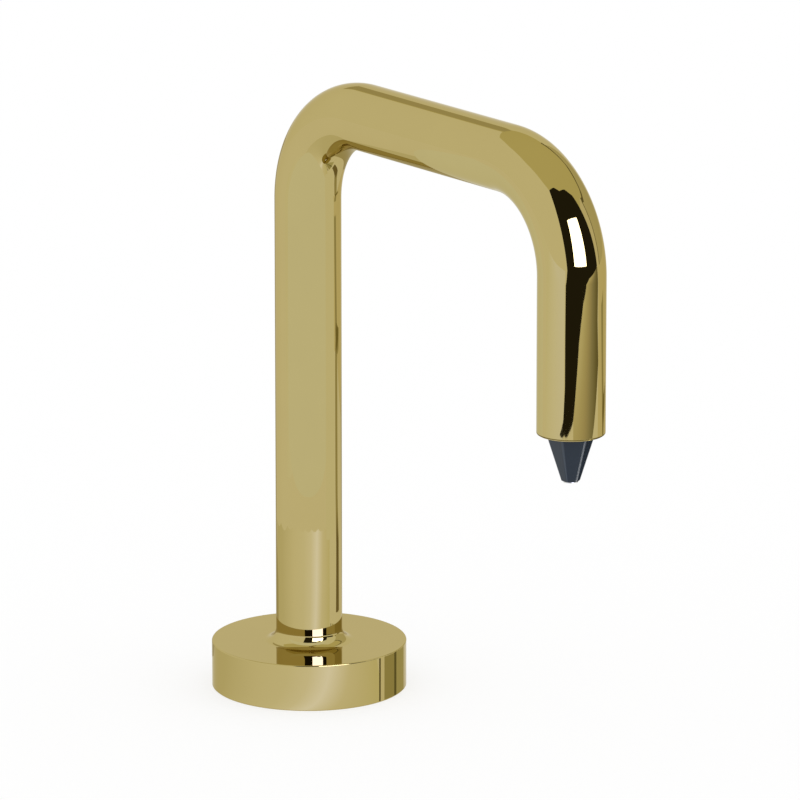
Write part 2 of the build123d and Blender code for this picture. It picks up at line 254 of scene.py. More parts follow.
def math_node(tree, operation, value=None):
    """A math node, with its second value where it has one."""
    return add_node(tree, "Math", {} if value is None else {1: value}, operation=operation)


def join(tree, *links):
    """Links nodes: each link is a node, its output, another node and its input."""
    for giver, out, taker, into in links:
        tree.links.new(giver.outputs[out], taker.inputs[into])


def object_place(tree, scale=(1.0, 1.0, 1.0)):
    """The piece's own coordinates, scaled."""
    place = add_node(tree, "TexCoord")
    mapping = add_node(tree, "Mapping", {"Scale": scale})
    join(tree, (place, "Object", mapping, "Vector"))
    return mapping


def new_group(name, inputs, outputs):
    """An empty shader group with named sockets."""
    tree = bpy.data.node_groups.new(name, "ShaderNodeTree")
    for label, kind, default in inputs:
        socket = tree.interface.new_socket(label, in_out="INPUT", socket_type=kind)
        if default is not None:
            socket.default_value = default
    for label, kind in outputs:
        tree.interface.new_socket(label, in_out="OUTPUT", socket_type=kind)
    return tree, tree.nodes.new("NodeGroupInput"), tree.nodes.new("NodeGroupOutput")


def tone_group():
    """Cloudy tone: a colour that drifts a little over the surface."""
    if "Cloudy Tone" in bpy.data.node_groups:
        return bpy.data.node_groups["Cloudy Tone"]
    tree, given, made = new_group(
        "Cloudy Tone",
        [
            ("Vector", "NodeSocketVector", None),
            ("Colour", "NodeSocketColor", (0.5, 0.5, 0.5, 1.0)),
            ("Drift", "NodeSocketFloat", 0.03),
            ("Scale", "NodeSocketFloat", 60.0),
        ],
        [("Colour", "NodeSocketColor")],
    )
    cloud = add_node(tree, "TexNoise", {"Detail": 3.0, "Roughness": 0.55})
    centred = math_node(tree, "SUBTRACT", 0.5)
    swing = math_node(tree, "MULTIPLY")
    gain = math_node(tree, "ADD", 1.0)
    tint = add_node(tree, "VectorMath", operation="SCALE")
    join(
        tree,
        (given, "Vector", cloud, "Vector"),
        (given, "Scale", cloud, "Scale"),
        (cloud, "Fac", centred, 0),
        (centred, 0, swing, 0),
        (given, "Drift", swing, 1),
        (swing, 0, gain, 0),
        (given, "Colour", tint, 0),
        (gain, 0, tint, "Scale"),
        (tint, 0, made, "Colour"),
    )
    return tree


def grain_group():
    """Fine grain: a height and a roughness that vary with one fine noise."""
    if "Fine Grain" in bpy.data.node_groups:
        return bpy.data.node_groups["Fine Grain"]
    tree, given, made = new_group(
        "Fine Grain",
        [
            ("Vector", "NodeSocketVector", None),
            ("Scale", "NodeSocketFloat", 900.0),
            ("Roughness", "NodeSocketFloat", 0.4),
            ("Spread", "NodeSocketFloat", 0.1),
        ],
        [("Height", "NodeSocketFloat"), ("Roughness", "NodeSocketFloat")],
    )
    fine = add_node(tree, "TexNoise", {"Detail": 4.0, "Roughness": 0.6})
    spread = add_node(tree, "MapRange", {"From Min": 0.3, "From Max": 0.7}, clamp=True)
    swing = math_node(tree, "MULTIPLY")
    total = math_node(tree, "ADD")
    join(
        tree,
        (given, "Vector", fine, "Vector"),
        (given, "Scale", fine, "Scale"),
        (fine, "Fac", spread, "Value"),
        (spread, "Result", swing, 0),
        (given, "Spread", swing, 1),
        (swing, 0, total, 0),
        (given, "Roughness", total, 1),
        (fine, "Fac", made, "Height"),
        (total, 0, made, "Roughness"),
    )
    return tree


def grain_node(tree, scale, roughness, spread):
    """The fine grain, with its settings."""
    values = {"Scale": scale, "Roughness": roughness, "Spread": spread}
    return add_node(tree, "Group", values, node_tree=grain_group())


def dress(tree, shader, tint, cloud, grain, bump, stretch=(1.0, 1.0, 1.0)):
    """Feeds a shader with tone and grain, and returns the tone.

    The cloud is a drift and a scale, and the grain a scale, a roughness and a spread.
    """
    place = object_place(tree, stretch)
    values = {"Colour": (*tint, 1.0), "Drift": cloud[0], "Scale": cloud[1]}
    tone = add_node(tree, "Group", values, node_tree=tone_group())
    fine = grain_node(tree, *grain)
    relief = add_node(tree, "Bump", {"Strength": 1.0, "Distance": bump})
    join(
        tree,
        (place, "Vector", tone, "Vector"),
        (place, "Vector", fine, "Vector"),
        (tone, "Colour", shader, "Base Color"),
        (fine, "Roughness", shader, "Roughness"),
        (fine, "Height", relief, "Height"),
        (relief, "Normal", shader, "Normal"),
    )
    return tone


def polished_gold(finish):
    """Mirror-polished plating with the faintest haze and wipe marks."""
    values = {"Metallic": 1.0, "Specular Tint": (*finish.gold_edge, 1.0)}
    material, tree, shader = new_material("polished_gold", values)
    grain = (1400.0, finish.gold_roughness, 0.012)
    dress(tree, shader, finish.gold, cloud=(0.05, 45.0), grain=grain, bump=2e-8)
    return material


def smoked_plastic(finish):
    """Dark tinted plastic with a satin gloss, with a painted highlight that makes it lighter along the six
    corners.
    """
    material, tree, shader = new_material("smoked_plastic", {"Specular IOR Level": 0.18})
    tone = dress(tree, shader, finish.smoked, cloud=(0.12, 220.0), grain=(2600.0, 0.14, 0.08), bump=3e-7)
    centre = [(low + high) / 2 for low, high in zip(NOZZLE_LOW, NOZZLE_HIGH)]
    place = add_node(tree, "TexCoord")
    moved = add_node(tree, "VectorMath", {1: centre}, operation="SUBTRACT")
    split = add_node(tree, "SeparateXYZ")
    turn = math_node(tree, "ARCTAN2")
    six = math_node(tree, "MULTIPLY", 6.0)
    wave = math_node(tree, "COSINE")
    # Painted highlight: a mask on the six corners that mixes the lighter corner tint into the base colour
    corner = add_node(
        tree,
        "MapRange",
        {"From Min": -0.88, "From Max": -1.0, "To Min": 0.0, "To Max": 0.8},
        interpolation_type="SMOOTHSTEP",
    )
    highlighted_corners = add_node(tree, "Mix", {MIX_SECOND: (*finish.corner_highlight_tint, 1.0)}, data_type="RGBA")
    join(
        tree,
        (place, "Object", moved, 0),
        (moved, 0, split, 0),
        (split, "Y", turn, 0),
        (split, "X", turn, 1),
        (turn, 0, six, 0),
        (six, 0, wave, 0),
        (wave, 0, corner, "Value"),
        (corner, "Result", highlighted_corners, 0),
        (tone, "Colour", highlighted_corners, MIX_FIRST),
        (highlighted_corners, MIX_RESULT, shader, "Base Color"),
    )
    return material


def drawn_steel(finish):
    """Bright drawn stainless steel, with fine lines along its length."""
    material, tree, shader = new_material("stainless", {"Metallic": 1.0})
    grain = (3000.0, 0.16, 0.12)
    dress(tree, shader, finish.steel, cloud=(0.06, 300.0), grain=grain, bump=4e-7, stretch=(1.0, 1.0, 0.08))
    return material


def turned_brass(finish):
    """Unplated brass with turning marks across its axis."""
    material, tree, shader = new_material("plain_brass", {"Metallic": 1.0})
    grain = (900.0, 0.22, 0.14)
    dress(tree, shader, finish.brass, cloud=(0.16, 150.0), grain=grain, bump=1e-6, stretch=(0.05, 0.05, 4.0))
    return material


def matt_rubber(finish):
    """Matt rubber with a dusty bloom."""
    material, tree, shader = new_material("black_rubber", {"Specular IOR Level": 0.3})
    dress(tree, shader, finish.rubber, cloud=(0.35, 260.0), grain=(3500.0, 0.62, 0.2), bump=4e-6)
    return material


def milky_hose(finish):
    """Milky flexible tubing."""
    values = {"Subsurface Weight": 0.15, "Subsurface Scale": 0.002}
    material, tree, shader = new_material("hose_plastic", values)
    dress(tree, shader, finish.hose, cloud=(0.06, 120.0), grain=(1500.0, 0.34, 0.14), bump=2e-6)
    return material


def moulded(name, tint, roughness):
    """Moulded plastic with a fine spark-eroded grain."""
    material, tree, shader = new_material(name)
    dress(tree, shader, tint, cloud=(0.08, 180.0), grain=(4200.0, roughness, 0.12), bump=3e-6)
    return material


def board_lacquer(finish):
    """Solder resist over copper tracks, drawn as a faint pattern of lighter bands."""
    values = {"Coat Weight": 0.4, "Coat Roughness": 0.15}
    material, tree, shader = new_material("circuit_board", values)
    place = object_place(tree)
    bricks = add_node(
        tree,
        "TexBrick",
        {
            "Color1": (*finish.board, 1.0),
            "Color2": (finish.board[0] * 1.6, finish.board[1] * 1.5, finish.board[2] * 1.6, 1.0),
            "Mortar": (finish.board[0] * 0.6, finish.board[1] * 0.7, finish.board[2] * 0.6, 1.0),
            "Scale": 420.0,
            "Mortar Size": 0.08,
        },
    )
    grain = grain_node(tree, scale=2600.0, roughness=0.35, spread=0.12)
    relief = add_node(tree, "Bump", {"Strength": 1.0, "Distance": 3e-5})
    join(
        tree,
        (place, "Vector", bricks, "Vector"),
        (place, "Vector", grain, "Vector"),
        (bricks, "Color", shader, "Base Color"),
        (bricks, "Fac", relief, "Height"),
        (relief, "Normal", shader, "Normal"),
        (grain, "Roughness", shader, "Roughness"),
    )
    return material


def epoxy(name, tint, clarity):
    """Cast epoxy of a diode, clear or nearly black."""
    material, tree, shader = new_material(name, {"Transmission Weight": clarity, "IOR": 1.52})
    dress(tree, shader, tint, cloud=(0.05, 300.0), grain=(2000.0, 0.08, 0.06), bump=5e-7)
    return material


MAKERS = {
    "polished_gold": polished_gold,
    "smoked_plastic": smoked_plastic,
    "stainless": drawn_steel,
    "plain_brass": turned_brass,
    "black_rubber": matt_rubber,
    "hose_plastic": milky_hose,
    "lead_jacket": lambda finish: moulded("lead_jacket", finish.jacket, 0.42),
    "black_plastic": lambda finish: moulded("black_plastic", finish.black_plastic, 0.38),
    "white_plastic": lambda finish: moulded("white_plastic", finish.white_plastic, 0.36),
    "circuit_board": board_lacquer,
    "clear_diode": lambda finish: epoxy("clear_diode", finish.clear_diode, 0.6),
    "dark_diode": lambda finish: epoxy("dark_diode", finish.dark_diode, 0.0),
}


def material_for(context, slot):
    """The finish of a slot, made once."""
    made = bpy.data.materials.get(slot + FINISHED)
    return made or MAKERS[slot](context.scene.faucet_finish)


# Mesh helpers


def verts_of(geom):
    """The points among an operator's results."""
    return [part for part in geom if isinstance(part, bmesh.types.BMVert)]


def edges_of(geom):
    """The edges among an operator's results."""
    return [part for part in geom if isinstance(part, bmesh.types.BMEdge)]


def circle(bm, radius, height, sides, centre=(0.0, 0.0)):
    """The edges of a new upright circle."""
    place = Matrix.Translation((*centre, height))
    made = bmesh.ops.create_circle(bm, cap_ends=False, radius=radius, segments=sides, matrix=place)
    return list(dict.fromkeys(edge for vert in made["verts"] for edge in vert.link_edges))


def ring_at(bm, radius, height, centre=(0.0, 0.0)):
    """The edges of one upright circle."""

    def on_ring(vert):
        away = Vector((vert.co.x - centre[0], vert.co.y - centre[1])).length
        return abs(away - radius) < MATCH and abs(vert.co.z - height) < MATCH

    return [edge for edge in bm.edges if all(on_ring(vert) for vert in edge.verts)]


def round_off(bm, edges, offset, segments):
    """Rounds edges, or chamfers them with one segment."""
    bmesh.ops.bevel(
        bm,
        geom=edges,
        offset=offset,
        offset_type="OFFSET",
        segments=segments,
        profile=0.5,
        affect="EDGES",
        material=-1,
    )


def carry(bm, ring, move):
    """Extrudes a ring of edges along a move and returns the new ring."""
    made = bmesh.ops.extrude_edge_only(bm, edges=ring)["geom"]
    fresh = verts_of(made)
    bmesh.ops.translate(bm, verts=fresh, vec=move)
    return [edge for edge in edges_of(made) if all(vert in fresh for vert in edge.verts)]


def bend(bm, ring, centre, steps):
    """Carries a ring of edges through a quarter bend about an X-wise axis."""
    made = bmesh.ops.spin(
        bm, geom=ring, cent=centre, axis=(1.0, 0.0, 0.0), angle=pi / 2, steps=steps, use_merge=False
    )
    return edges_of(made["geom_last"])


def lathe(bm, outline, sides, centre=(0.0, 0.0)):
    """Spins a closed outline of (radius, height) points round an upright axis."""
    verts = [bm.verts.new((centre[0] + radius, centre[1], height)) for radius, height in outline]
    edges = [bm.edges.new(pair) for pair in zip(verts, verts[1:] + verts[:1])]
    bmesh.ops.spin(
        bm,
        geom=verts + edges,
        cent=(centre[0], centre[1], 0.0),
        axis=(0.0, 0.0, 1.0),
        angle=tau,
        steps=sides,
        use_merge=True,
    )


def add_object(bm, name, material):
    """A smooth-shaded mesh object at the origin."""
    mesh = bpy.data.meshes.new(name)
    bm.to_mesh(mesh)
    bm.free()
    mesh.polygons.foreach_set("use_smooth", [True] * len(mesh.polygons))
    mesh.set_sharp_from_angle(angle=SHARP)
    mesh.materials.append(material)
    piece = bpy.data.objects.new(name, mesh)
    bpy.context.scene.collection.objects.link(piece)
    return piece


def finish_piece(context, bm, name, slot, node):
    """Closes the mesh, gives it its finish, and lets it stand for its node."""
    bmesh.ops.remove_doubles(bm, verts=bm.verts, dist=WELD)
    bmesh.ops.recalc_face_normals(bm, faces=bm.faces)
    piece = add_object(bm, name, material_for(context, slot))
    weights = piece.modifiers.new("even_shading", "WEIGHTED_NORMAL")
    weights.keep_sharp = True
    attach(piece, BODY)
    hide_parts(node)
    return piece


# Pieces


def mouth_level(size):
    """Height of the spout's mouth, under the collar by the nozzle's rim."""
    return COLLAR_LOW[2] - size.nozzle_rim


class FAUCET_OT_spout(Operator):
    """Model the bent spout tube with its rounded mouth"""

    bl_idname = "faucet.spout"
    bl_label = "Spout Tube"

    def execute(self, context):
        size = context.scene.faucet_sizes
        bm = bmesh.new()
        bend_level = size.arm_height - size.bend_radius
        mouth = mouth_level(size)
        ring = circle(bm, size.tube_radius, size.foot_top, size.tube_sides)
        ring = carry(bm, ring, (0.0, 0.0, bend_level - size.foot_top))
        ring = bend(bm, ring, (0.0, -size.bend_radius, bend_level), size.bend_steps)
        ring = carry(bm, ring, (0.0, 2 * size.bend_radius - size.reach, 0.0))
        ring = bend(bm, ring, (0.0, size.bend_radius - size.reach, bend_level), size.bend_steps)
        carry(bm, ring, (0.0, 0.0, mouth - bend_level))
        bmesh.ops.remove_doubles(bm, verts=bm.verts, dist=WELD)
        bmesh.ops.recalc_face_normals(bm, faces=bm.faces)
        bmesh.ops.solidify(bm, geom=bm.faces, thickness=size.tube_wall)
        drop = (0.0, -size.reach)
        round_off(bm, ring_at(bm, size.tube_radius, mouth, drop), size.tube_edge, segments=8)
        inner = size.tube_radius - size.tube_wall
        round_off(bm, ring_at(bm, inner, mouth, drop), size.mouth_chamfer, segments=1)
        finish_piece(context, bm, "polished_spout", "polished_gold", "spout_tube")
        return {"FINISHED"}


class FAUCET_OT_flange(Operator):
    """Model the round flange with its foot, spigot, gasket groove and threaded shank socket"""

    bl_idname = "faucet.flange"
    bl_label = "Base Flange"

    def execute(self, context):
        size = context.scene.faucet_sizes
        bm = bmesh.new()
        spigot = size.tube_radius - size.tube_wall - size.seat_gap
        outline = [
            (size.flange_bore, size.socket_depth),
            (size.flange_bore, size.spigot_top),
            (spigot, size.spigot_top),
            (spigot, size.foot_top),
            (size.tube_radius, size.foot_top),
            (size.tube_radius, size.flange_height),
            (size.flange_radius, size.flange_height),
            (size.flange_radius, 0.0),
            (size.gasket_outer, 0.0),
            (size.gasket_outer, size.gasket_depth),
            (size.gasket_inner, size.gasket_depth),
            (size.gasket_inner, 0.0),
            (size.socket_major, 0.0),
            (size.socket_major, size.socket_depth),
        ]
        lathe(bm, outline, size.round_sides)
        bmesh.ops.remove_doubles(bm, verts=bm.verts, dist=WELD)
        round_off(bm, ring_at(bm, size.tube_radius, size.flange_height), size.foot_fillet, segments=24)
        top = ring_at(bm, size.flange_radius, size.flange_height)
        round_off(bm, top, size.flange_top_edge, segments=6)
        round_off(bm, ring_at(bm, size.flange_radius, 0.0), size.flange_low_edge, segments=1)
        self.cut_thread(bm, size)
        finish_piece(context, bm, "polished_flange", "polished_gold", "base_flange")
        return {"FINISHED"}

    def cut_thread(self, bm, size):
        """Adds the thread's ridge as one closed coil along the socket's wall."""
        pitch = size.thread_pitch
        half = pitch / 2
        turns = int((size.socket_depth - pitch) / pitch)
        start = half + (size.socket_depth - turns * pitch - pitch) / 2
        root = size.socket_major + size.seat_gap
        flat = pitch / 8
        profile = [
            (root, start - half + flat),
            (size.socket_minor, start - flat),
            (size.socket_minor, start + flat),
            (root, start + half - flat),
        ]
        face = bm.faces.new([bm.verts.new((radius, 0.0, height)) for radius, height in profile])
        steps = size.round_sides // 2
        bmesh.ops.spin(
            bm,
            geom=[face],
            cent=(0.0, 0.0, 0.0),
            axis=(0.0, 0.0, 1.0),
            dvec=(0.0, 0.0, pitch / steps),
            angle=tau * turns,
            steps=steps * turns,
            use_merge=False,
        )


class FAUCET_OT_nozzle(Operator):
    """Model the tapered six-sided nozzle with its rim and the hole for the pipe"""

    bl_idname = "faucet.nozzle"
    bl_label = "Nozzle"

    def execute(self, context):
        size = context.scene.faucet_sizes
        bm = bmesh.new()
        mouth = mouth_level(size)
        axis = (0.0, -size.reach)
        tip = mouth - size.nozzle_length
        made = bmesh.ops.create_cone(
            bm,
            cap_ends=False,
            segments=6,
            radius1=size.tip_width / 2,
            radius2=size.nozzle_width / 2,
            depth=size.nozzle_length,
            matrix=Matrix.Translation((0.0, -size.reach, mouth - size.nozzle_length / 2)),
        )
        corners = [
            edge
            for vert in made["verts"]
            for edge in vert.link_edges
            if abs(edge.verts[0].co.z - edge.verts[1].co.z) > size.nozzle_length / 2
        ]
        corners = list(dict.fromkeys(corners))
        # A bevel starts at the radius times the tangent of half the turn, so 30 degrees at a corner of six
        round_off(bm, corners, size.nozzle_edge * tan(radians(30)), segments=6)
        low = [edge for edge in bm.edges if all(abs(vert.co.z - tip) < MATCH for vert in edge.verts)]
        high = [edge for edge in bm.edges if all(abs(vert.co.z - mouth) < MATCH for vert in edge.verts)]
        hole = circle(bm, size.pipe_radius + size.seat_gap, tip, HOLE_SIDES, axis)
        bmesh.ops.bridge_loops(bm, edges=low + hole)
        carry(bm, hole, (0.0, 0.0, size.nozzle_length / 3))
        rim = circle(bm, size.rim_radius, mouth, RIM_SIDES, axis)
        bmesh.ops.bridge_loops(bm, edges=high + rim)
        rim = carry(bm, rim, (0.0, 0.0, size.nozzle_rim))
        spigot = circle(bm, size.nozzle_spigot, mouth + size.nozzle_rim, RIM_SIDES, axis)
        bmesh.ops.bridge_loops(bm, edges=rim + spigot)
        spigot = carry(bm, spigot, (0.0, 0.0, NOZZLE_HIGH[2] - mouth - size.nozzle_rim))
        bore = circle(bm, size.nozzle_spigot - size.spigot_wall, NOZZLE_HIGH[2], RIM_SIDES, axis)
        bmesh.ops.bridge_loops(bm, edges=spigot + bore)
        carry(bm, bore, (0.0, 0.0, mouth - NOZZLE_HIGH[2] + size.nozzle_rim))
        edges = [
            edge
            for edge in bm.edges
            if all(abs(vert.co.z - tip) < MATCH for vert in edge.verts)
            and len(edge.link_faces) == 2
            and edge.calc_face_angle(0.0) > SHARP
            and (edge.verts[0].co.xy - Vector(axis)).length > size.pipe_radius + size.tip_edge
        ]
        # 40 degrees is a little over half the turn of the tip's edge
        round_off(bm, edges, size.tip_edge * tan(radians(40)), segments=4)
        finish_piece(context, bm, "smoked_nozzle", "smoked_plastic", "nozzle_cone")
        return {"FINISHED"}


class FAUCET_OT_pipe(Operator):
    """Model the thin outlet pipe with its rolled lip"""

    bl_idname = "faucet.pipe"
    bl_label = "Outlet Pipe"

    def execute(self, context):
        size = context.scene.faucet_sizes
        bm = bmesh.new()
        low = PIPE_LOW[2]
        outline = [
            (size.pipe_bore, low),
            (size.lip_radius, low),
            (size.lip_radius, low + size.lip_height),
            (size.pipe_radius, low + size.lip_height),
            (size.pipe_radius, PIPE_HIGH[2]),
            (size.pipe_bore, PIPE_HIGH[2]),
        ]
        axis = (0.0, -size.reach)
        lathe(bm, outline, PIPE_SIDES, axis)
        bmesh.ops.remove_doubles(bm, verts=bm.verts, dist=WELD)
        lip = ring_at(bm, size.lip_radius, low, axis)
        lip += ring_at(bm, size.lip_radius, low + size.lip_height, axis)
        round_off(bm, lip, size.lip_height * 0.4, segments=5)
        finish_piece(context, bm, "drawn_outlet_pipe", "stainless", "outlet_pipe")
        return {"FINISHED"}


class FAUCET_OT_spring(Operator):
    """Coil the valve's spring, which shortens as the poppet opens"""

    bl_idname = "faucet.spring"
    bl_label = "Valve Spring"

    def execute(self, context):
        size = context.scene.faucet_sizes
        bm = bmesh.new()
        wire = size.spring_wire / 2
        rise = SPRING_HIGH[2] - SPRING_LOW[2]
        start = Matrix.Translation((SPRING_HIGH[0] - wire, -size.reach, SPRING_LOW[2] + wire))
        start @= Matrix.Rotation(pi / 2, 4, "X")
        bmesh.ops.create_circle(bm, cap_ends=True, radius=wire, segments=WIRE_SIDES, matrix=start)
        steps = COIL_STEPS * size.spring_turns
        bmesh.ops.spin(
            bm,
            geom=bm.faces[:],
            cent=(0.0, -size.reach, 0.0),
            axis=(0.0, 0.0, 1.0),
            dvec=(0.0, 0.0, (rise - 2 * wire) / steps),
            angle=tau * size.spring_turns,
            steps=steps,
            use_merge=False,
        )
        spring = finish_piece(context, bm, "coiled_valve_spring", "stainless", "valve_spring")
        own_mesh(spring)
        return {"FINISHED"}


class FAUCET_OT_fittings(Operator):
    """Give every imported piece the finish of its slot"""

    bl_idname = "faucet.fittings"
    bl_label = "Finishes of the Fittings"

    def execute(self, context):
        for name, slot in FINISH.items():
            node = frame["nodes"][name]
            material = material_for(context, slot)
            if not node.material_slots:
                raise RuntimeError(f"{name} has no material slot")
            for place in node.material_slots:
                place.material = material
        return {"FINISHED"}


# Stage


class Plan:
    """Places round a centre, by turns in degrees right of the camera's direction."""

    def __init__(self, stage, centre=(0.0, 0.0)):
        facing = stage.view_azimuth
        self.stage = stage
        self.centre = Vector(centre)
        self.toward = Vector((sin(facing), -cos(facing)))
        self.right = Vector((cos(facing), sin(facing)))

    def point(self, turn, distance):
        """The floor point at a turn and a distance."""
        turn = radians(turn)
        return self.centre + (self.toward * cos(turn) + self.right * sin(turn)) * distance

    def ring(self, distance, *turns):
        """Floor points that are all at one distance."""
        return [self.point(turn, distance) for turn in turns]

    def spots(self, *steps):
        """Floor points by their steps to the camera's right and towards it."""
        return [self.centre + self.right * right + self.toward * toward for right, toward in steps]

    def sight(self, turn, rise, distance):
        """The point sighted at a turn and a rise from the mirror level, or its foot on the floor."""
        level = 0.0 if rise is None else self.stage.mirror_level + distance * tan(radians(rise))
        return (*self.point(turn, distance), level)

    def front(self, sights, share=1.0):
        """Sighted points on the flat front wall, or parallel to it at a share of its distance."""
        far = self.stage.tent_distance * share
        facing = self.stage.dark_turn
        return [self.sight(turn, rise, far / cos(radians(turn) - facing)) for turn, rise in sights]

    def around(self, share, sights):
        """Sighted points on a round wall at a share of the front wall's distance."""
        return [self.sight(turn, rise, self.stage.tent_distance * share) for turn, rise in sights]


def feet(*turns):
    """Sights of a wall's foot, at turns in degrees."""
    return [(turn, None) for turn in turns]


def upright(spots, low, high):
    """The lower and the upper row of a screen that stands over floor points."""
    return [(*spot, low) for spot in spots], [(*spot, high) for spot in spots]


def glow_nodes(name, strength):
    """A plain white glowing finish, with its node tree, its light and its output."""
    material = bpy.data.materials.new(name)
    material.use_nodes = True
    tree = material.node_tree
    tree.nodes.clear()
    light = add_node(tree, "Emission", {"Color": WHITE, "Strength": strength})
    out = add_node(tree, "OutputMaterial")
    join(tree, (light, 0, out, "Surface"))
    return material, tree, light, out


def glow(name, tint):
    """A glowing finish in one tint."""
    material, _, light, _ = glow_nodes(name, 1.0)
    set_values(light, {"Color": (*tint, 1.0)})
    return material


def add_ramp(tree, stops):
    """A colour ramp with its stops, each a position and a tint."""
    ramp = add_node(tree, "ValToRGB")
    elements = ramp.color_ramp.elements
    elements[0].position, elements[1].position = stops[0][0], stops[-1][0]
    for position, _ in stops[1:-1]:
        elements.new(position)
    for element, (_, tint) in zip(elements, stops):
        element.color = (*tint, 1.0)
    return ramp


def place_from(tree, origin):
    """The piece's own coordinates, measured from a floor point."""
    place = add_node(tree, "TexCoord")
    moved = add_node(tree, "VectorMath", {1: (*origin, 0.0)}, operation="SUBTRACT")
    join(tree, (place, "Object", moved, 0))
    return moved


def along_node(tree, direction):
    """How far a place lies along a floor direction."""
    return add_node(tree, "VectorMath", {1: (*direction, 0.0)}, operation="DOT_PRODUCT")


def ramp_glow(name, stops, start, end):
    """A glowing finish that changes along the line from start to end."""
    material, tree, light, _ = glow_nodes(name, 1.0)
    line = end - start
    moved = place_from(tree, start)
    along = along_node(tree, line / line.length_squared)
    ramp = add_ramp(tree, stops)
    join(
        tree,
        (moved, 0, along, 0),
        (along, "Value", ramp, "Fac"),
        (ramp, "Color", light, "Color"),
    )
    return material


def fan_glow(name, stops, plan):
    """A glowing finish that changes with the turn round a plan's centre."""
    material, tree, light, _ = glow_nodes(name, 1.0)
    first, last = stops[0][0], stops[-1][0]
    moved = place_from(tree, plan.centre)
    across = along_node(tree, plan.right)
    along = along_node(tree, plan.toward)
    turn = math_node(tree, "ARCTAN2")
    spread = add_node(tree, "MapRange", {"From Min": radians(first), "From Max": radians(last)})
    ramp = add_ramp(tree, [((degree - first) / (last - first), tint) for degree, tint in stops])
    join(
        tree,
        (moved, 0, across, 0),
        (moved, 0, along, 0),
        (across, "Value", turn, 0),
        (along, "Value", turn, 1),
        (turn, 0, spread, "Value"),
        (spread, "Result", ramp, "Fac"),
        (ramp, "Color", light, "Color"),
    )
    return material


def only_mirrored(card):
    """Seen in reflections alone, so that it neither shows, lights nor shades."""
    card.visible_camera = False
    card.visible_diffuse = False
    card.visible_transmission = False
    card.visible_volume_scatter = False
    card.visible_shadow = False


def screen(name, material, lower, upper):
    """A folded screen between two rows of points."""
    bm = bmesh.new()
    rows = [[bm.verts.new(point) for point in row] for row in (lower, upper)]
    edges = [bm.edges.new(pair) for row in rows for pair in zip(row, row[1:])]
    bmesh.ops.bridge_loops(bm, edges=edges)
    if len(bm.faces) != len(lower) - 1:
        raise RuntimeError(f"{name} has {len(bm.faces)} panels")
    only_mirrored(add_object(bm, name, material))


def flat_card(name, material, outline, height):
    """A flat card that faces up."""
    bm = bmesh.new()
    face = bm.faces.new([bm.verts.new((*point, height)) for point in outline])
    face.normal_update()
    if face.normal.z < 0.0:
        face.normal_flip()
    bmesh.ops.triangulate(bm, faces=[face])
    only_mirrored(add_object(bm, name, material))


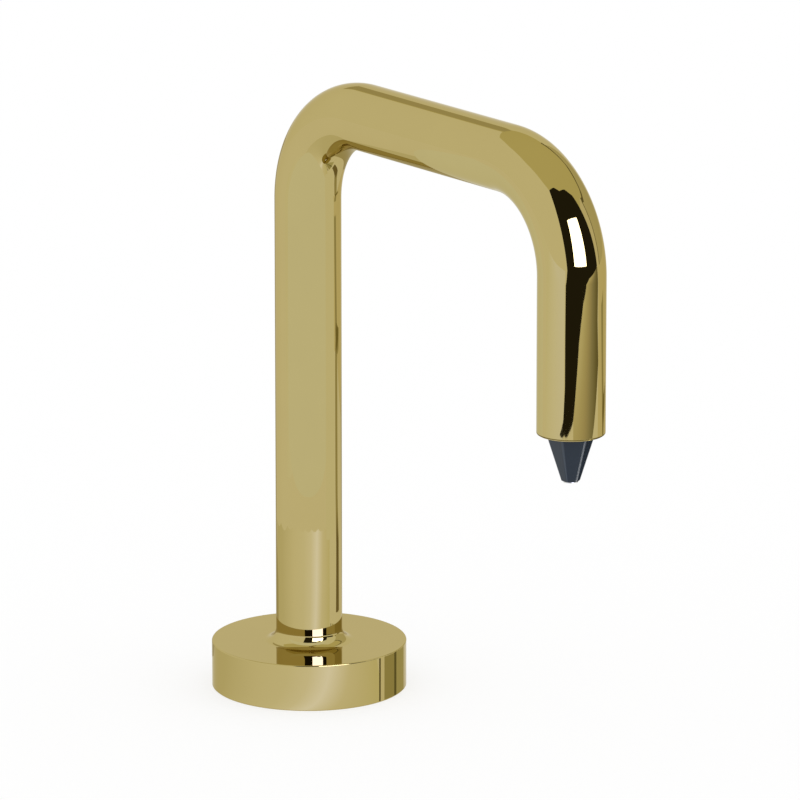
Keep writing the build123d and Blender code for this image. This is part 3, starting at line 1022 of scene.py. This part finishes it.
class FAUCET_OT_stage(Operator):
    """Place the camera, lay the white floor and stand the light tent that the polish mirrors"""

    bl_idname = "faucet.stage"
    bl_label = "Camera, Floor and Light Tent"

    def execute(self, context):
        stage = context.scene.faucet_stage
        size = context.scene.faucet_sizes
        base = Plan(stage)
        drop = Plan(stage, (0.0, -size.reach))
        context.scene.view_settings.view_transform = "Standard"
        self.camera(context, stage)
        self.white_world(context, stage)
        self.floor(stage)
        self.front_wall(stage, drop)
        self.softbox(stage, drop)
        self.walls(stage, drop)
        self.front_floor(stage, drop)
        self.side_floor(drop)
        self.line_shade(base)
        self.edge_strips(stage, size.flange_radius)
        self.light_pool(stage, base)
        self.back_floor(drop)
        self.card_between_legs(base)
        self.nozzle_cards(drop)
        return {"FINISHED"}

    def camera(self, context, stage):
        """The camera, by its turn and rise round the origin and its steps aside."""
        turn, rise = stage.view_azimuth, stage.view_elevation
        back = Vector((sin(turn) * cos(rise), -cos(turn) * cos(rise), sin(rise)))
        right = Vector((cos(turn), sin(turn), 0.0))
        up = back.cross(right)
        data = bpy.data.cameras.new("view_camera")
        data.sensor_width = 36.0
        data.lens = stage.lens_pixels * data.sensor_width / stage.picture_width
        data.clip_end = 50.0
        camera = bpy.data.objects.new("view_camera", data)
        place = right * stage.view_right + up * stage.view_up + back * stage.view_distance
        axes = Matrix((right, up, back)).transposed()
        camera.matrix_world = Matrix.Translation(place) @ axes.to_4x4()
        context.scene.collection.objects.link(camera)
        context.scene.camera = camera

    def white_world(self, context, stage):
        """White surroundings, which the polish mirrors as a cream ceiling."""
        world = bpy.data.worlds.new("white_surroundings")
        context.scene.world = world
        world.use_nodes = True
        tree = world.node_tree
        tree.nodes.clear()
        path = add_node(tree, "LightPath")
        plain = add_node(tree, "Background", {"Strength": stage.world_strength, "Color": WHITE})
        ceiling = add_node(tree, "Background", {"Strength": 1.0, "Color": (0.77, 0.73, 0.47, 1.0)})
        mix = add_node(tree, "MixShader")
        out = add_node(tree, "OutputWorld")
        join(
            tree,
            (path, "Is Glossy Ray", mix, "Fac"),
            (plain, 0, mix, 1),
            (ceiling, 0, mix, 2),
            (mix, 0, out, "Surface"),
        )

    def floor(self, stage):
        """White floor: for rays that see it, part of its white glows and part takes shadow."""
        share = stage.floor_share
        material, tree, light, out = glow_nodes("white_floor", 1.0 - share)
        path = add_node(tree, "LightPath")
        mirrored = math_node(tree, "MAXIMUM")
        seen = math_node(tree, "MAXIMUM")
        shaded = add_node(tree, "BsdfDiffuse", {"Color": (share, share, share, 1.0)})
        paper = add_node(tree, "BsdfDiffuse", {"Color": (0.8, 0.8, 0.8, 1.0)})
        both = add_node(tree, "AddShader")
        mix = add_node(tree, "MixShader")
        join(
            tree,
            (path, "Is Camera Ray", mirrored, 0),
            (path, "Is Glossy Ray", mirrored, 1),
            (mirrored, 0, seen, 0),
            (path, "Is Transmission Ray", seen, 1),
            (shaded, 0, both, 0),
            (light, 0, both, 1),
            (seen, 0, mix, "Fac"),
            (paper, 0, mix, 1),
            (both, 0, mix, 2),
            (mix, 0, out, "Surface"),
        )
        bm = bmesh.new()
        bmesh.ops.create_grid(bm, x_segments=1, y_segments=1, size=stage.floor_size)
        add_object(bm, "floor", material)

    def front_wall(self, stage, drop):
        """The dark wall in front, which makes the black band on the drop."""
        left, right = degrees(stage.dark_left), degrees(stage.dark_right)
        dark = glow("dark_cloth", (0.024, 0.021, 0.015))
        lower = drop.front(feet(left, 0, 20, 54, 75, right))
        upper = drop.front([(-27, 51), (-5, 61), (20, 61), (54, 61), (70, 54), (77, 50)])
        screen("dark_wall", dark, lower, upper)

    def softbox(self, stage, drop):
        """The softbox before the dark wall, white at first sight and bluer where it is mirrored twice."""
        material, tree, light, _ = glow_nodes("softbox_face", stage.lamp_strength)
        path = add_node(tree, "LightPath")
        again = math_node(tree, "GREATER_THAN", 1.5)
        tints = {MIX_FIRST: (1.0, 1.0, 1.3, 1.0), MIX_SECOND: (1.0, 1.2, 4.5, 1.0)}
        tint = add_node(tree, "Mix", tints, data_type="RGBA")
        join(
            tree,
            (path, "Glossy Depth", again, 0),
            (again, 0, tint, 0),
            (tint, MIX_RESULT, light, "Color"),
        )
        sides = feet(degrees(stage.lamp_left), degrees(stage.lamp_right))
        spots = [point[:2] for point in drop.front(sides, SOFTBOX_SHARE)]
        high = stage.lamp_low + stage.tent_distance * SOFTBOX_SHARE * stage.lamp_rise
        screen("softbox", material, *upright(spots, stage.lamp_low, high))

    def walls(self, stage, drop):
        """The bright walls at the left, behind and at the right, and a thin rail on the right."""
        turns = (-40, -75, -105, -130, -154, -157, -170, -171, -202)
        rises = (52, 52, 50, 46, 44, 24, 24, 40, 40)
        white = glow("white_paper", (0.985, 0.985, 0.95))
        lower = drop.front(feet(degrees(stage.dark_left))) + drop.around(LEFT_SHARE, feet(*turns))
        upper = drop.front([(-27, 51)]) + drop.around(LEFT_SHARE, zip(turns, rises))
        screen("left_wall", white, lower, upper)
        olive = glow("olive_cloth", (0.6, 0.56, 0.4))
        lower = drop.around(LEFT_SHARE, [(-157, 24), (-170, 24)])
        screen("back_cloth", olive, lower, drop.around(LEFT_SHARE, [(-157, 44), (-170, 42)]))
        cream = glow("cream_paper", (0.88, 0.85, 0.74))
        lower = drop.front(feet(degrees(stage.dark_right))) + drop.around(RIGHT_SHARE, feet(104))
        upper = drop.front([(82, 37)]) + drop.around(RIGHT_SHARE, [(104, 36)])
        screen("right_wall", cream, lower, upper)
        side = glow("side_paper", (0.72, 0.69, 0.52))
        lower = drop.around(RIGHT_SHARE, feet(104, 122, 142, 161))
        upper = drop.around(RIGHT_SHARE, [(104, 33), (122, 28), (142, 29), (161, 40)])
        screen("side_wall", side, lower, upper)
        rail = glow("rail_paint", (0.2, 0.18, 0.1))
        lower = drop.around(POST_SHARE, feet(102.5, 105))
        screen("rail_post", rail, lower, drop.around(POST_SHARE, [(102.5, 33), (105, 33)]))
        lower = drop.around(RAIL_SHARE, [(104, 31.5), (112, 27.5), (122, 27), (142, 28), (161, 39.5)])
        upper = drop.around(RAIL_SHARE, [(104, 35), (112, 31), (122, 30), (142, 32), (161, 44)])
        screen("rail_top", rail, lower, upper)

    def front_floor(self, stage, drop):
        """The dark floor beyond the table's front edge, and the shade along that edge."""
        dark = bpy.data.materials["dark_cloth"]
        reach = stage.tent_distance / cos(stage.dark_right - stage.dark_turn)
        left = [(-0.267, 0.780), (-0.244, 0.625), (-0.225, 0.561), (-0.197, 0.490), (-0.214, 0.427)]
        edge = [(-0.286, 0.355), (-0.180, 0.418), (-0.046, 0.459), (0.050, 0.475), (0.150, 0.517)]
        edge += [(0.240, 0.548), (0.310, 0.546), (0.400, 0.530), (0.510, 0.467), (0.902, 0.543)]
        corners = drop.ring(reach, degrees(stage.dark_right), degrees(stage.dark_left))
        flat_card("dark_floor", dark, drop.spots(*left, *edge) + corners, 4 * LAYER)
        stops = [
            (0.0, (0.2, 0.18, 0.1)),
            (0.15, (0.25, 0.23, 0.13)),
            (0.45, (0.40, 0.38, 0.28)),
            (0.68, (0.6, 0.55, 0.40)),
            (0.85, (0.72, 0.68, 0.5)),
            (1.0, (0.85, 0.82, 0.66)),
        ]
        shade = ramp_glow("table_shade", stops, *drop.spots((0.0, -0.060), (0.0, 0.520)))
        side = [(2.400, 0.500), (2.400, -0.090), (0.685, -0.060), (0.629, -0.045), (0.556, -0.085)]
        near = [(0.500, 0.010), (0.440, 0.110), (0.330, 0.290), (0.050, 0.440)]
        flat_card("shaded_table", shade, drop.spots(*edge[3:], *side, *near), 2 * LAYER)

    def side_floor(self, drop):
        """Cool light on the floor at the left, and warm light at the right."""
        stops = [(0.0, (0.99, 1.0, 0.97)), (0.5, (1.04, 1.07, 1.17)), (1.0, (1.06, 1.1, 1.34))]
        cool = ramp_glow("cool_floor", stops, *drop.spots((-0.500, -0.050), (-0.250, 0.500)))
        outline = [(-0.360, -0.050), (-1.800, -0.050), (-1.800, 1.800), (-0.700, 1.800), (-0.200, 0.420)]
        flat_card("left_floor", cool, drop.spots(*outline), LAYER)
        warm = glow("warm_floor", (0.88, 0.83, 0.64))
        outline = [(0.430, -0.060), (0.556, -0.085), (2.400, -0.085), (2.400, -1.800)]
        outline += [(-0.300, -1.800), (0.100, -0.420), (0.330, -0.330)]
        flat_card("right_floor", warm, drop.spots(*outline), LAYER)

    def line_shade(self, base):
        """The shade on the floor right of the flange, which makes the column's thin dark line."""
        stops = [
            (0.0, (0.27, 0.22, 0.11)),
            (0.19, (0.25, 0.2, 0.1)),
            (0.27, (0.5, 0.46, 0.28)),
            (0.715, (0.52, 0.48, 0.29)),
            (0.745, (0.29, 0.25, 0.1)),
            (0.80, (0.29, 0.25, 0.1)),
            (0.83, (0.46, 0.42, 0.25)),
            (1.0, (0.5, 0.47, 0.3)),
        ]
        line = ramp_glow("table_line", stops, base.point(113, 0.090), base.point(111, 0.600))
        inside = [(104, 0.097), (109, 0.185), (106, 0.250), (106, 0.450), (109, 0.483), (102, 0.700)]
        outside = [(113, 0.700), (117, 0.510), (129, 0.500), (129, 0.466), (119, 0.458)]
        outside += [(119, 0.250), (125, 0.185), (123, 0.097)]
        flat_card("line_shade", line, [base.point(*spot) for spot in inside + outside], 5 * LAYER)

    def edge_strips(self, stage, rim):
        """Strips of floor between two turns, which the right of the flange's side mirrors."""
        strips = [
            ("edge_line", 92.3, 94.8, (0.12, 0.1, 0.03)),
            ("edge_cream", 94.8, 101.5, (0.95, 0.93, 0.86)),
            ("edge_olive", 101.5, 122.0, (0.5, 0.47, 0.28)),
            ("edge_dark", 122.0, 127.5, (0.2, 0.19, 0.1)),
            ("edge_khaki", 127.5, 152.0, (0.62, 0.6, 0.4)),
        ]
        base = Plan(stage)
        for name, first, last, tint in strips:
            start, end = [Plan(stage, base.point(turn / 2, rim)) for turn in (first, last)]
            outline = start.ring(0.0, first) + start.ring(STRIP_LENGTH, first)
            outline += end.ring(STRIP_LENGTH, last) + end.ring(0.0, last)
            flat_card(name + "_strip", glow(name, tint), outline, 4 * LAYER)

    def light_pool(self, stage, base):
        """Light on the floor before the flange, which its side and the column's foot mirror."""
        stops = [
            (-110, (0.86, 0.85, 0.74)),
            (-55, (0.99, 0.99, 0.96)),
            (-15, (1.02, 1.03, 1.05)),
            (12, (1.09, 1.11, 1.26)),
            (34, (1.25, 1.31, 1.85)),
            (56, (1.01, 1.01, 1.02)),
            (84, (0.9, 0.89, 0.72)),
        ]
        pool = fan_glow("pool_light", stops, Plan(stage, *base.spots((-0.011, 0.019))))
        near = base.ring(0.0328, 62, 40, 20, 0, -20, -40, -60, -80, -100, -125)
        far = base.ring(0.214, -140, -110, -78, -56, -34, -12, 10, 32, 54, 76)
        flat_card("light_pool", pool, near + far, 2 * LAYER)

    def back_floor(self, drop):
        """The darker floor behind, which the arm's underside mirrors."""
        olive = bpy.data.materials["olive_cloth"]
        outline = [(-0.130, -0.140), (-0.185, -0.200), (-0.200, -0.290), (-0.900, -1.800)]
        outline += [(-0.200, -1.800), (0.100, -0.420), (-0.080, -0.150)]
        flat_card("back_floor", olive, drop.spots(*outline), 3 * LAYER)

    def card_between_legs(self, base):
        """A white card behind the drop with a cream wing, so that the column mirrors plain white."""
        left, fold, right = base.spots((-0.120, 0.045), (0.078, 0.045), (0.098, -0.012))
        card_low, wing_low, high = 0.058, 0.030, 0.172
        white = glow("column_paper", (0.99, 1.03, 1.08))
        screen("card_between_legs", white, *upright([left, fold], card_low, high))
        wing = glow("wing_paper", (0.98, 0.99, 0.96))
        screen("card_wing", wing, *upright([fold, right], wing_low, high))

    def nozzle_cards(self, drop):
        """A bright card under the nozzle, a shade round the mouth's rim and a dark card beside it."""
        material, tree, light, out = glow_nodes("kicker_face", 6.5)
        sides = add_node(tree, "NewGeometry")
        clear = add_node(tree, "BsdfTransparent")
        mix = add_node(tree, "MixShader")
        join(
            tree,
            (sides, "Backfacing", mix, "Fac"),
            (light, 0, mix, 1),
            (clear, 0, mix, 2),
            (mix, 0, out, "Surface"),
        )
        kicker_level, shade_level = 0.045, 0.1125
        flag_low, flag_high = 0.050, 0.098
        turns = (108, 90, 70, 50, 34)
        outline = drop.ring(0.044, *turns) + drop.ring(0.085, *reversed(turns))
        flat_card("nozzle_kicker", material, outline, kicker_level)
        shade = glow("mouth_shade", (0.3, 0.27, 0.15))
        rows = [drop.ring(distance, *range(-165, 180, 15)) for distance in (0.0115, 0.019)]
        inner, outer = [[(*spot, shade_level) for spot in row] for row in rows]
        screen("mouth_shade", shade, inner, outer)
        flag = upright(drop.ring(0.0625, 126, 140, 155, 172), flag_low, flag_high)
        screen("nozzle_flag", bpy.data.materials["dark_cloth"], *flag)


class FAUCET_PT_build(Panel):
    """Steps that build the faucet"""

    bl_label = "Faucet"
    bl_idname = "FAUCET_PT_build"
    bl_space_type = "VIEW_3D"
    bl_region_type = "UI"
    bl_category = "Faucet"

    def draw(self, context):
        for step in STEPS:
            self.layout.operator(step.bl_idname)
        for group in GROUPS:
            settings = getattr(context.scene, group)
            box = self.layout.box()
            for name in settings.__annotations__:
                box.prop(settings, name)


STEPS = (
    FAUCET_OT_spout,
    FAUCET_OT_flange,
    FAUCET_OT_nozzle,
    FAUCET_OT_pipe,
    FAUCET_OT_spring,
    FAUCET_OT_fittings,
    FAUCET_OT_stage,
)
GROUPS = {"faucet_sizes": FaucetSizes, "faucet_finish": FaucetFinish, "faucet_stage": FaucetStage}
CLASSES = (*GROUPS.values(), *STEPS, FAUCET_PT_build)


def register():
    for entry in CLASSES:
        bpy.utils.register_class(entry)
    for name, group in GROUPS.items():
        setattr(bpy.types.Scene, name, PointerProperty(type=group))


def unregister():
    for name in GROUPS:
        delattr(bpy.types.Scene, name)
    for entry in reversed(CLASSES):
        bpy.utils.unregister_class(entry)


def main():
    register()
    for step in STEPS:
        getattr(bpy.ops.faucet, step.bl_idname.split(".")[1])()


if __name__ == "__main__":
    main()
